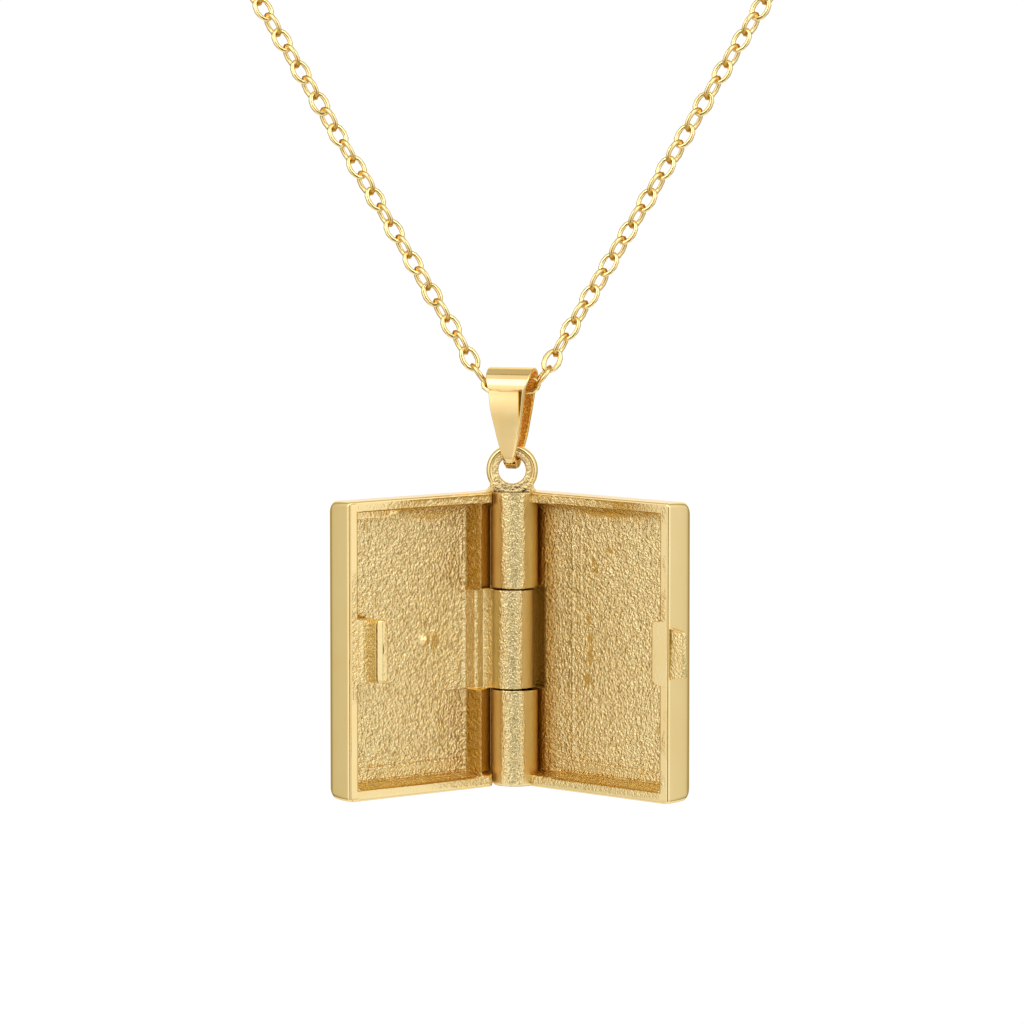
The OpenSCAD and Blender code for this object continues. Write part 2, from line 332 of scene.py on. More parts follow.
# Thin raised lines left by the tool: u, lowest z, highest z, height
RIDGES = {
    True: [(3.4, 5.2, 8.6, 0.06)],
    False: [(4.0, -8.3, 8.6, 0.05), (4.75, 1.0, 8.6, 0.04), (5.25, 3.5, 7.5, 0.03), (5.1, -7.5, -3.0, 0.025)],
}
# Middle of the whorl of wrinkles in the left floor
WHORL = (5.4, 7.2)
# The left floor ends in a smooth band at the top, with a raised line along its edge, and both floors have a
# ledge at the bottom
BAND_Z, BAND_LINE_Z = 8.6, 8.58
LEDGE_Z = {True: 8.15, False: 8.07}
LEDGE_RISE = 0.035


def smear_share(u, z, left):
    """1 in the middle of a smeared patch, 0 outside the patches."""
    best = 0.0
    for cu, cz, ru, rz in SMEARS[left]:
        if abs(u - cu) < 1.6 * ru and abs(z - cz) < 1.6 * rz:
            wobble = 0.35 * drift(u * 1.7, z * 1.7, 5.0 + cu)
            best = max(best, ramp(1.3 - hypot((u - cu) / ru, (z - cz) / rz) + wobble, 0.75))
    return best


def from_outline(u, z):
    """Distance of a point from the leaf's free edge or its nearer end."""
    return min(LEAF_W - u, LEAF_H / 2 - abs(z))


def own_share(z, left):
    """1 where the leaf's own knuckle grows out of it, 0 beside the other leaf's knuckle."""
    edge = 0.04
    if left:
        return clamp((MID_Z - abs(z)) / edge + 0.5)
    return clamp((abs(z) - END_Z) / edge + 0.5)


# Depth v of the open side by the distance u from the hinge: where the leaf's own knuckle grows out of it, and
# beside the other leaf's knuckle
COVE = {
    True: [(0.0, -0.2), (1.38, -0.2), (1.5, 0.1), (1.64, 0.95), (1.68, 1.12), (1.74, 1.1), (1.8, 1.15), (2.3, 1.21),
           (2.35, 1.19), (2.42, 1.25), (3.18, 1.35), (3.24, 1.33), (3.34, 1.43), (4.6, FLOOR_V)],
    False: [(0.0, 1.5), (0.8, 1.46), (1.2, 1.36), (1.6, 1.32), (2.9, 1.53), (FLOOR_U, FLOOR_V)],
}
SLOPE = {
    True: [(0.0, 1.75), (1.0, 1.35), (1.25, 1.1), (1.3, 1.04), (2.0, 0.73), (2.5, 0.49), (2.8, 0.12), (2.88, 0.1),
           (3.02, FLOOR_V - 0.1), (FLOOR_U, FLOOR_V)],
    False: [(0.0, 1.7), (1.2, 1.67), (1.4, 1.45), (1.65, 1.33), (2.9, 1.53), (FLOOR_U, FLOOR_V)],
}


def along(points, x):
    """Height at x of a line through points."""
    for (x0, y0), (x1, y1) in zip(points, points[1:]):
        if x <= x1:
            return mix(y0, y1, clamp((x - x0) / (x1 - x0)))
    return points[-1][1]


def soft_along(points, x, soft):
    return (along(points, x - soft) + 2 * along(points, x) + along(points, x + soft)) / 4


def wall_share(inside, lean, u, z, left):
    """Depth share of the tray's wall at a distance from the rim: steep at the free edge, with a draft
    at the bottom, and coved at the top. The left leaf's cove flattens out towards the free edge."""
    side = clamp(inside / 0.13)
    if z > 0:
        t = 1 - clamp(inside / 0.66)
        end = sqrt(max(1 - t * t, 0))
        if left:
            flat = clamp(inside / 0.12)
            end = mix(end, flat, ramp(u - 8.9 + 0.5 * drift(z * 2, u, 1.0), 0.6))
    else:
        end = clamp(inside / 0.28) * 0.95 + 0.05 * ramp(inside - 0.25, 0.15)
    return mix(side, end, ramp(lean - 0.3, 0.5))


def box_distance(past_u, past_z):
    """Distance from a box with round corners, below zero inside, from the distances past its sides."""
    qu, qz = past_u + PAD_R, past_z + PAD_R
    return min(max(qu, qz), 0) + hypot(max(qu, 0), max(qz, 0)) - PAD_R


def pad_distance(u, z, left):
    """Distance from the outline of the catch's pad. The right pad is a little wider than the solids' one,
    so that the tongue clears it."""
    return box_distance(PAD_U - (TONGUE_GAP if left else -0.05) - u, abs(z) - CATCH_Z)


def tray_depth(u, z, left):
    """Depth v of a leaf's open side, behind the plane where the leaves meet."""
    own = own_share(z, left)
    trough_r = KNUCKLE_R + 0.05 if left else KNUCKLE_R + 0.12
    trough = sqrt(max(trough_r ** 2 - u ** 2, 0))
    floor = FLOOR_V
    if u < 4.7:
        floor = mix(max(trough, soft_along(SLOPE[left], u, 0.03)), soft_along(COVE[left], u, 0.02), own)
    to_free, to_end = TRAY_U - u, TRAY_Z - abs(z)
    corner = 0.42
    if to_free < corner and to_end < corner:
        inside = corner - hypot(corner - to_free, corner - to_end)
    else:
        inside = min(to_free, to_end)
    lean = clamp(to_free / (abs(to_free) + abs(to_end) + 1e-6))
    share = wall_share(inside, lean, u, z, left)
    # The catch's pad, with a small hollow corner where it meets the rim
    off_pad = pad_distance(u, z, left)
    pad = ramp(off_pad, 0.1)
    if inside < 0.25 and abs(z) > CATCH_Z - 0.05 and to_end > 2:
        pad = min(pad, ramp(off_pad + 0.1 - max(0.25 - inside, 0), 0.14))
    share = min(share, pad)
    v = RIM_V + (floor - RIM_V) * share
    if left:
        t = 1 - clamp((u - trough_r) / 0.6)
        rim_end = 0.55 * (1 - sqrt(1 - t * t))
        v = max(v, mix(max(trough, RIM_V + rim_end), RIM_V, own))
    return v


def flow_angle(u, z, left):
    """Direction in which the skin's wrinkles run at a point of the floor."""
    wander = 1.5 * drift(u * 0.16, z * 0.16, 3.0 if left else 9.0)
    if left:
        base = radians(96) + 0.5 * clamp((u - 6) / 6) * clamp(z / 6)
        d = hypot(u - WHORL[0], z - WHORL[1])
        if d < 2.4:
            around = atan2(z - WHORL[1], u - WHORL[0]) + pi / 2
            return mix(around, base + wander, clamp((d - 1.4) / 1.0))
        return base + wander
    return radians(122) - 0.5 * clamp(-z / 5) + wander


def grain(u, z, left):
    """Relief of the wrinkled cast skin, about -1 to 1."""
    seed = 11.0 if left else 47.0
    angle = flow_angle(u, z, left)
    warp = 0.3 * drift(u * 1.2, z * 1.2, seed + 3)
    total, power = 0.0, 1e-6
    for k in range(4):
        off = (angle - k * pi / 4 + pi / 2) % pi - pi / 2
        w = 1 - abs(off) / (pi / 4)
        if w > 0:
            c, s = cos(k * pi / 4), sin(k * pi / 4)
            total += w * drift((u * c + z * s) * 3.2 + warp, (z * c - u * s) * 6.0 + warp, seed + 7 * k)
            power += w * w
    wrinkle = total / sqrt(power)
    near = noise.voronoi((u * 5.0 + warp, z * 5.0 - warp, seed))[0][0]
    lump = drift(u * 1.3, z * 1.3, seed + 21)
    return 0.85 * wrinkle + 1.2 * (0.52 - near) + 0.35 * lump


def round_corner(u, z, rho, reach):
    """Moves a point near the two free corners so that nested outlines get round corners."""
    m = from_outline(u, z)
    rho, reach = max(rho - m, 0), reach - m
    edge_u, edge_z = LEAF_W - m, LEAF_H / 2 - m
    if rho <= 0 or edge_u - u > reach or edge_z - abs(z) > reach:
        return u, z
    on_end = abs(edge_z - abs(z)) < 1e-6
    gone = (u - (edge_u - reach)) if on_end else (abs(z) - (edge_z - reach))
    length = (reach - rho) + rho * pi / 4
    s = gone / reach * length
    if s <= reach - rho:
        if on_end:
            return edge_u - reach + s, copysign(edge_z, z)
        return edge_u, copysign(edge_z - reach + s, z)
    angle = (s - (reach - rho)) / rho
    along_side, off_side = rho * sin(angle), rho * (1 - cos(angle))
    if on_end:
        return edge_u - rho + along_side, copysign(edge_z - off_side, z)
    return edge_u - off_side, copysign(edge_z - rho + along_side, z)


CORNER_R, CORNER_REACH = 0.3, 1.2
BACK_STEPS = 7
GROOVE_IN = 0.16


def leaf_outer():
    """Rings from the rim to the back: depth, how far the free edge and the ends have drawn in,
    and the radius of the upright corners."""
    rings = [(share * LEAF_T, iu, iz, rho) for share, iu, iz, rho in
             [(0.08, 0.0, 0.0, 0.3), (0.25, 0.002, 0.001, 0.3), (0.5, 0.008, 0.008, 0.34), (0.7, 0.02, 0.025, 0.42)]]
    v0, iu0, iz0, rho0 = rings[-1]
    deep_u, deep_z, deep_rho = 0.3, 0.5, 0.45
    for i in range(1, BACK_STEPS + 1):
        a = pi / 2 * i / BACK_STEPS
        rings.append((v0 + (LEAF_T - v0) * sin(a), iu0 + deep_u * (1 - cos(a)),
                      iz0 + deep_z * (1 - cos(a)), rho0 + deep_rho * (1 - cos(a))))
    return rings


def rim_roughness(u, z, left):
    """How granular the rim is left: rough beside the hinge, polished towards the free edge."""
    if u > LEAF_W - 0.8:
        if left:
            rough = 0.65 * clamp((4.6 - abs(z - 0.9)) / 1.2)
        else:
            rough = 0.6 * clamp(drift(u * 0.5, z * 0.45, 77.0) * 3 + 0.3)
    elif z > 0:
        rough = mix(0.1, 0.95, clamp((9.8 - u) / 5.5))
    else:
        rough = mix(0.1, 0.9, clamp((7.5 - u) / 5)) if left else mix(0.55, 0.9, clamp((11 - u) / 6))
    return rough * (0.75 + 0.5 * abs(drift(u * 0.9, z * 0.9, 40.0)))


def rim_skin(u, z, wrinkles, left):
    """Skin of the rim and of the catch's pad: a fine groove runs just inside the outline, with painted shade in it,
    a line of painted shade runs along the tray's edge, and the top rim gets patches of painted shade towards the
    hinge."""
    on_pad = u > PAD_U - 0.1 and abs(z) < CATCH_Z + 0.05
    rough = rim_roughness(u, z, left)
    if on_pad:
        rough = 0.8 if left else 0.03
    off_groove = from_outline(u, z) - GROOVE_IN
    rough = mix(0.04, rough, ramp(off_groove, 0.2))
    relief = 0.02 * rough * wrinkles
    if on_pad and left:
        relief += 0.02 * drift(u * 5.5, z * 0.8, 20.0) + 0.03 * bell(u - 13.05, 0.05)
    # Painted shade: half the groove's depth at its bottom, a dark line along the tray's edge, and patches on the top
    # rim that grow towards the hinge
    groove = bell(off_groove, 0.03) * clamp((u - LEAF_W + 0.8) / 0.2) * (1.0 if left else 0.3)
    relief -= 0.045 * groove * (0.75 + 0.5 * drift(u * 1.1, z * 1.1, 61.0))
    lip = min(TRAY_U - u, TRAY_Z - abs(z))
    edge_line = (0 if on_pad else 1.2) * bell(lip + 0.02, 0.04) * clamp((u - 3.2) / 0.5)
    rim_shade_near_hinge = 0.45 * clamp((8.5 - u) / 5) * clamp(0.5 + 1.5 * drift(u * 1.5, z * 1.5, 70.0)) * clamp(z)
    return rough, max(0.5 * groove, rim_shade_near_hinge, edge_line), relief, 0.5 + 0.5 * wrinkles, 0.0


def floor_skin(u, z, v, wrinkles, left):
    """Skin of the tray's walls and floor: wrinkled, veined and pitted as cast, with what the tool has left, and
    painted shade beside the knuckles, round the catch's pad and tongue, and along the bottom ledge.
    """
    own = own_share(z, left)
    smear = smear_share(u, z, left)
    rough = 1.0
    if left:
        arm = own * clamp((FLOOR_U - u) / 0.15)
        ribs = max(bell(u - 2.34, 0.06), bell(u - 1.62, 0.14))
        rough = mix(rough, 0.14 + 0.75 * ribs, arm)
        rough = mix(rough, 0.12, clamp((2.7 - u) / 0.06) * (1 - own))
    rough *= 1 - 0.75 * smear
    band = clamp((z - BAND_Z) / 0.1) * ramp(u - 8.7, 0.5) if left else 0.0
    rough = mix(rough, 0.12, band)
    amount = mix(0.047, 0.012, band)
    if u < FLOOR_U:
        amount = 0.034
    relief = amount * rough * wrinkles
    if u > 3.25 and v > 1.2:
        patch = clamp(0.35 + 1.3 * drift(u * 0.35, z * 0.28, 52.0 if left else 57.0))
        vein = drift(u * 1.5 + 0.5 * wrinkles, z * 1.0, 43.0) + 0.25 * drift(u * 4, z * 3, 44.0)
        relief += 0.045 * rough * patch * bell(vein, 0.12)
        for pu, pz, pr in PITS[left]:
            relief -= 0.14 * bell(hypot(u - pu, z - pz), pr * 0.6)
        if left:
            du, dz = u - MOUND[0], z - MOUND[1]
            lopsided = hypot(du * (1.5 if du < 0 else 0.8), dz * 1.1) / MOUND[2]
            mound = ramp(1 - lopsided, 1.0)
            relief += MOUND[3] * mound
            rough *= 1 - 0.5 * clamp(mound * 3)
    for ru, low, high, tall in RIDGES[left]:
        ends = clamp((z - low) / 0.8) * clamp((high - z) / 0.8)
        wave = 0.08 * drift(z * 0.6, ru, 4.0)
        relief += tall * ends * bell(u - ru - wave, 0.075)
    if left:
        line = BAND_LINE_Z + 0.06 * drift(u * 0.9, 2.0, 8.0)
        relief += 0.04 * bell(z - line, 0.07) * ramp(u - 8.9, 0.8) - 0.02 * band
    ledge, foot = 0.0, 0.0
    if z < 0 and u > 3.0:
        step = z + LEDGE_Z[left] + (0 if left else LEDGE_RISE * (u - FLOOR_U)) + 0.08 * drift(u * 0.7, 0.0, 8.0)
        ledge = 1 - ramp(step, 0.15)
        dotted = 0.7 + 0.9 * drift(u * 4.5, 3.0, 8.0)
        relief = mix(relief, 0.4 * relief, ledge) + 0.05 * ledge + 0.06 * dotted * bell(step - 0.02, 0.06)
        # Lines of painted shade along the foot of the bottom wall and under the ledge's dotted edge
        foot = max(1.2 * bell(TRAY_Z + z - 0.38, 0.035), 0.9 * dotted * bell(step - 0.14, 0.05))
    deep, satin = 0.0, 0.0
    # Right leaf: painted shade, darkest beside the barrel and fading out over the cove, and a line of painted shade
    # round the catch's pad
    if not left:
        deep = max(mix(1.5, 1.0, own) * clamp((1.65 - u) / 0.5), 0.8 * clamp((3.1 - u) / 1.2))
        satin = 0.3 * clamp((3.4 - u) / 0.5)
        deep += 1.1 * bell(pad_distance(u, z, False) - 0.04, 0.05)
    # Left leaf: patchy painted shade on the slope beside the right leaf's knuckles
    elif u < 3.15:
        deep = (1 - own) * clamp((3.15 - u) / 0.1) * mix(0.85, 0.5, clamp((2.9 - u) / 0.1))
        deep *= 1 + 0.6 * drift(u * 9 + v * 9, z * 9, 3.0)
        satin = mix(0.5 * clamp((2.86 - u) / 0.05), 0.35, own)
    # Painted shade round the foot of the catch's tongue
    if left and v > 1.0:
        beside = box_distance(abs(u - (TONGUE_U - TONGUE_T / 2)) - TONGUE_T / 2, abs(z) - CATCH_Z)
        foot = max(foot, 1.5 * bell(beside - 0.04, 0.06))
    deep = max(deep, foot)
    return rough, deep, relief, mix(clamp(0.5 + 0.6 * wrinkles), 1, band), satin


def skin(u, z, v, left):
    """How rough a point of the open side is, how much painted shade it gets in a recess, its relief along the normal,
    the height of its grain and how satin it is."""
    wrinkles = grain(u + 0.8 * (FLOOR_V - v), z + 0.8 * (FLOOR_V - v), left)
    if v < 0.2 and not (u < FLOOR_U and v > 0.08):
        return rim_skin(u, z, wrinkles, left)
    return floor_skin(u, z, v, wrinkles, left)


def leaf_tray(left):
    """Leaf without its knuckles: a fine grid for the open side, then rings round to the back."""
    us = lines((SPINE_GAP, 1.3, 0.15), (1.3, 2.0, 0.038), (2.0, 2.44, 0.045), (2.44, 2.72, 0.07), (2.72, 2.84, 0.03),
               (2.84, 3.06, 0.018), (3.06, FLOOR_U, 0.06), (FLOOR_U, 12.34, 0.066), (12.34, 12.62, 0.028),
               (12.62, 13.3, 0.085), (13.3, 13.52, 0.022), (13.52, 13.84, 0.08), (13.84, 14.04, 0.033),
               (14.04, LEAF_W, 0.032))
    half = lines((0, 2.04, 0.068), (2.04, 2.22, 0.03), (2.22, 3.3, 0.068), (3.3, 3.5, 0.03), (3.5, 8.55, 0.068),
                 (8.55, 8.99, 0.055), (8.99, 9.29, 0.025), (9.29, 9.64, 0.07), (9.64, 9.84, 0.033),
                 (9.84, LEAF_H / 2, 0.032))
    zs = [-z for z in reversed(half[1:])] + half
    bm = bmesh.new()
    layer = set_finish_and_shade(bm, [], 0)
    bmesh.ops.create_grid(bm, x_segments=len(us) - 1, y_segments=len(zs) - 1, size=0.5)
    columns = len(us)
    grid = list(bm.verts)
    reliefs = []
    for index, vert in enumerate(grid):
        u, z = us[index % columns], zs[index // columns]
        v = tray_depth(u, z, left)
        rough, deep, relief, height, satin = skin(u, z, v, left)
        m = from_outline(u, z)
        bevel = 0.1 * (1 - clamp(m / 0.13)) ** 2
        cu, cz = round_corner(u, z, CORNER_R, CORNER_REACH)
        vert.co = (cu, v + bevel, cz)
        vert[layer] = (rough, deep, height, satin)
        reliefs.append(relief * clamp(m / 0.1) * clamp((u - SPINE_GAP) / 0.1))
    bm.normal_update()
    for vert, relief in zip(grid, reliefs):
        side = -1 if vert.normal.y > 0 else 1
        vert.co += vert.normal * (side * relief)
    ring_edges = [e for e in bm.edges if len(e.link_faces) == 1]
    home = {vert: (us[i % columns], zs[i // columns], vert.co.y) for i, vert in enumerate(grid) if vert.is_boundary}
    for v_ring, inset_u, inset_z, rho in leaf_outer():
        ring_edges, home = next_ring(bm, ring_edges, home)
        for vert, (u, z, v0) in home.items():
            cu, cz = round_corner(u, z, rho, CORNER_REACH)
            cu -= inset_u * clamp((cu - LEAF_W + 2.0) / 2.0)
            cz -= copysign(inset_z * clamp((abs(cz) - 7.0) / 3.0), cz)
            vert.co = (cu, v0 + (LEAF_T - v0) * (v_ring - RIM_V) / (LEAF_T - RIM_V), cz)
            vert[layer] = (0.0, 0, 0.6, 0)
    cap = bmesh.ops.holes_fill(bm, edges=ring_edges)["faces"]
    bmesh.ops.inset_region(bm, faces=cap, thickness=0.03, use_even_offset=True)
    bm.transform(leaf_matrix(left))
    return bm


make_piece("leaf_left_tray", leaf_tray(True), "leaf_left", CAST, ["leaf_left"])
make_piece("leaf_right_tray", leaf_tray(False), "leaf_right", CAST, ["leaf_right"])


def lathe(profile, steps):
    """Closed ring of a profile of (radius, height) points, turned round Z."""
    bm = bmesh.new()
    verts = [bm.verts.new((r, 0, z)) for r, z in profile]
    edges = [bm.edges.new((a, b)) for a, b in zip(verts, verts[1:] + verts[:1])]
    bmesh.ops.spin(bm, geom=verts + edges, cent=(0, 0, 0), axis=(0, 0, 1), angle=2 * pi,
                   steps=steps, use_merge=True)
    bmesh.ops.remove_doubles(bm, verts=bm.verts, dist=1e-5)
    return bm


def knuckle(z0, z1, radius, low_round, top_round, seed, patch, shoulder):
    """One knuckle of the hinge: a bored barrel, smooth at its sides and rough cast down its front. A low
    shoulder round the bore meets the next knuckle. The bore, shoulders and ends are painted almost black as
    shade, and a line of painted shade edges the rough patch."""
    low_s, top_s = shoulder
    foot_r, top_r = radius - 0.4, radius - 0.42
    profile = [(PIN_HOLE_R, z0 - low_s), (top_r, z0 - low_s), (foot_r, z0)]
    quarter = [pi / 2 * i / 5 for i in range(6)]
    profile += [(radius - low_round * (1 - sin(a)), z0 + low_round * (1 - cos(a))) for a in quarter]
    count = round((z1 - z0 - low_round - top_round) / 0.075)
    profile += [(radius, mix(z0 + low_round, z1 - top_round, i / count)) for i in range(1, count)]
    profile += [(radius - top_round * (1 - cos(a)), z1 - top_round * (1 - sin(a))) for a in quarter]
    profile += [(foot_r, z1), (top_r, z1 + top_s), (PIN_HOLE_R, z1 + top_s)]
    bm = lathe(profile, 132)
    # Everything starts painted almost black as shade; the barrel's outside is set below
    layer = set_finish_and_shade(bm, bm.verts, 0.5, 2.0)
    bmesh.ops.recalc_face_normals(bm, faces=bm.faces)
    bm.normal_update()
    low, high = patch
    moves = []
    for vert in bm.verts:
        x, y, z = vert.co
        if hypot(x, y) < radius * 0.9:
            continue
        angle = degrees(atan2(x, -y))
        ragged = 2.5 * drift(z * 1.1, seed, 0.5) + 2 * drift(z * 4.5, seed, 9.5)
        on_patch = clamp((angle - low - ragged) / 5) * clamp((high - angle + ragged * 0.6) / 5)
        # A small groove along one edge of the rough patch, darkened with painted shade
        edge_line = bell(angle - low - ragged + 1.5, 1.6) * clamp(drift(z * 0.7, seed, 33.0) * 4 - 0.6)
        sideways = clamp((abs(angle) - 80) / 20)
        rough = max(0.62 * on_patch, 0.08, 0.4 * sideways)
        bite = 1.2 * drift(x * 6.2, y * 6.2, z * 6.2 + seed) + 0.4 * drift(x * 2.6, y * 2.6, z * 1.6 + seed)
        relief = 0.02 * on_patch + 0.012 * bite * on_patch - 0.03 * edge_line + 0.002 * bite
        moves.append((vert, vert.normal.copy(), relief))
        # Painted shade, almost black, at the barrel's ends where it meets the next knuckle
        painted_gap_shade = 2 * (1 - clamp((min(z - z0, z1 - z) - 0.015) / 0.03))
        satin = (1.1 if angle < 0 else 0.7) * (1 - on_patch)
        vert[layer] = (rough, max(0.6 * edge_line, painted_gap_shade), clamp(0.5 + 0.5 * bite), satin)
    for vert, normal, amount in moves:
        vert.co += normal * (amount - 0.02)
    return bm


# Knuckles: name, whether it is the left leaf's, lowest and highest point, radius, roundings of the lower and
# upper edge, seed, rough patch in degrees from the front, and shoulders at the bottom and the top
for name, left, low, high, radius, rounds, seed, patch, shoulder in (
        ("top", False, END_Z, LEAF_H / 2, KNUCKLE_R, (0.15, 0.05), 2.0, (-36, 31), (0.045, 0)),
        ("bottom", False, -LEAF_H / 2, -END_Z, KNUCKLE_R, (0.3, 0.08), 8.0, (-36, 29), (0, 0.045)),
        ("middle", True, -MID_Z, MID_Z, MID_KNUCKLE_R, (0.07, 0.07), 15.0, (-32, 38), (0, 0))):
    barrel = knuckle(low, high, radius, *rounds, seed, patch, shoulder)
    shift = Matrix.Translation(MID_SHIFT) if left else Matrix.Identity(4)
    barrel.transform(leaf_matrix(left) @ shift @ Matrix.Rotation(LEAF_TURN, 4, "Z"))
    make_piece("knuckle_" + name, barrel, "leaf_left" if left else "leaf_right", CAST)


def rounded_post(u0, u1, half_z, corner, rings, rough):
    """Upright post with rounded corners, from rings of (depth, how far its outward side leans out, inset)."""
    bm = bmesh.new()
    bmesh.ops.create_grid(bm, x_segments=4, y_segments=14, size=0.5)
    bmesh.ops.scale(bm, vec=(u1 - u0, 2 * half_z, 1), verts=bm.verts)
    bmesh.ops.bevel(bm, geom=[v for v in bm.verts if len(v.link_edges) == 2], offset=corner, segments=6, profile=0.5,
                    affect="VERTICES", material=-1)
    bmesh.ops.rotate(bm, verts=bm.verts, matrix=Matrix.Rotation(pi / 2, 3, "X"))
    bmesh.ops.translate(bm, vec=((u0 + u1) / 2, rings[0][0], 0), verts=bm.verts)
    edges = [e for e in bm.edges if len(e.link_faces) == 1]
    middle = (u0 + u1) / 2
    plan = {vert: (vert.co.x, vert.co.z) for edge in edges for vert in edge.verts}
    for depth, lean_out, inset in rings[1:]:
        edges, plan = next_ring(bm, edges, plan)
        for vert, (u, z) in plan.items():
            out_share = clamp((u - middle) / (u1 - middle))
            vert.co = (middle + (u - middle) * (1 - 2 * inset / (u1 - u0)) + lean_out * out_share, depth,
                       z * (1 - inset / half_z))
    cap = bmesh.ops.holes_fill(bm, edges=edges)["faces"]
    bmesh.ops.inset_region(bm, faces=cap, thickness=0.04, use_even_offset=True)
    set_finish_and_shade(bm, bm.verts, rough)
    return bm


def catch_tongue():
    """Snap tongue: a lip and a groove, painted dark as shade, run along its outward side, then a slant up to its flat
    top.
    """
    u1 = TONGUE_U
    top = -TONGUE_RISE
    bm = rounded_post(u1 - TONGUE_T, u1, CATCH_Z, 0.3, [
        (FLOOR_V + 0.1, 0.09, 0), (0.1, 0.09, 0), (0.02, 0.08, 0.0), (top + 0.3, 0, 0), (top + 0.24, 0.03, 0),
        (top + 0.19, 0.05, 0), (top + 0.15, 0.03, 0), (top + 0.13, -0.03, 0.005), (top + 0.11, -0.06, 0.01),
        (top + 0.06, -0.18, 0.02), (top + 0.02, -0.26, 0.04), (top, -0.3, 0.08)], 0.1)
    set_finish_and_shade(bm, [v for v in bm.verts if v.co.x > u1 - 0.02 and v.co.y > top + 0.27], 0.7)
    # Painted shade, almost black, in the groove's bottom
    set_finish_and_shade(bm, [v for v in bm.verts if v.co.x > u1 - 0.2 and top + 0.12 < v.co.y < top + 0.14], 0.3, 2.0)
    bm.transform(leaf_matrix(True))
    return bm


def thumb_tab():
    """Flat tab that a thumbnail opens the locket with: a tapering plate, rough on its front and smooth at its end."""
    tab_h, tab_t, tab_back, taper = 3.46, 0.4, 0.22, 0.2
    inner = LEAF_W - 0.35
    outline = [(inner, -tab_h / 2), (LEAF_W, -tab_h / 2), (LEAF_W + TAB_OUT, -tab_h / 2 + taper),
               (LEAF_W + TAB_OUT, tab_h / 2 - taper), (LEAF_W, tab_h / 2), (inner, tab_h / 2)]
    bm = bmesh.new()
    base = bm.faces.new([bm.verts.new((u, tab_back, z)) for u, z in outline])
    top = bmesh.ops.extrude_face_region(bm, geom=[base])["geom"]
    bmesh.ops.translate(bm, vec=(0, tab_t, 0), verts=verts_in(top))
    outer = [e for e in bm.edges if all(v.co.x > LEAF_W + 1 for v in e.verts)
             and abs(e.verts[0].co.y - e.verts[1].co.y) > 0.1]
    bmesh.ops.bevel(bm, geom=outer, offset=0.16, segments=4, profile=0.5, affect="EDGES", material=-1)
    bmesh.ops.bevel(bm, geom=[e for e in bm.edges if e.calc_face_angle(0) > 0.7], offset=0.05, segments=3,
                    profile=0.5, affect="EDGES", material=-1)
    front = [f for f in bm.faces if abs(f.calc_center_median().y - tab_back) < 0.01]
    for width, sink in ((0.06, 0.0), (0.05, 0.05)):
        bmesh.ops.inset_region(bm, faces=front, thickness=width, depth=0.0, use_even_offset=True)
        bmesh.ops.translate(bm, vec=(0, sink, 0), verts=list({v for f in front for v in f.verts}))
    set_finish_and_shade(bm, bm.verts, 0.1)
    set_finish_and_shade(bm, [v for v in bm.verts if abs(v.co.y - tab_back - 0.05) < 0.01 and v.co.x > LEAF_W - 0.1], 0.9)
    bm.transform(leaf_matrix(False))
    return bm


make_piece("catch_tongue", catch_tongue(), "leaf_left", CAST)
make_piece("thumb_tab", thumb_tab(), "leaf_right", CAST)


def eye_blank():
    """The ring of the eye, lying round the Y axis: a flat washer with a rounded outer band."""
    half = [(0.92, 0.12), (0.935, 0.26), (0.98, 0.35), (1.05, 0.38), (1.28, 0.39), (1.34, 0.36), (1.39, 0.42),
            (1.48, 0.46), (1.6, 0.43), (1.68, 0.34), (1.73, 0.2), (EYE_R, 0.06)]
    bm = lathe(half + [(r, -z) for r, z in reversed(half)], 128)
    bmesh.ops.rotate(bm, verts=bm.verts, matrix=Matrix.Rotation(pi / 2, 3, "X"))
    return bm


EYE_VOXEL = 0.036
EYE_FOOT_T = 0.84
EYE_PLATE_R, EYE_GROOVE_R = 1.36, 1.35


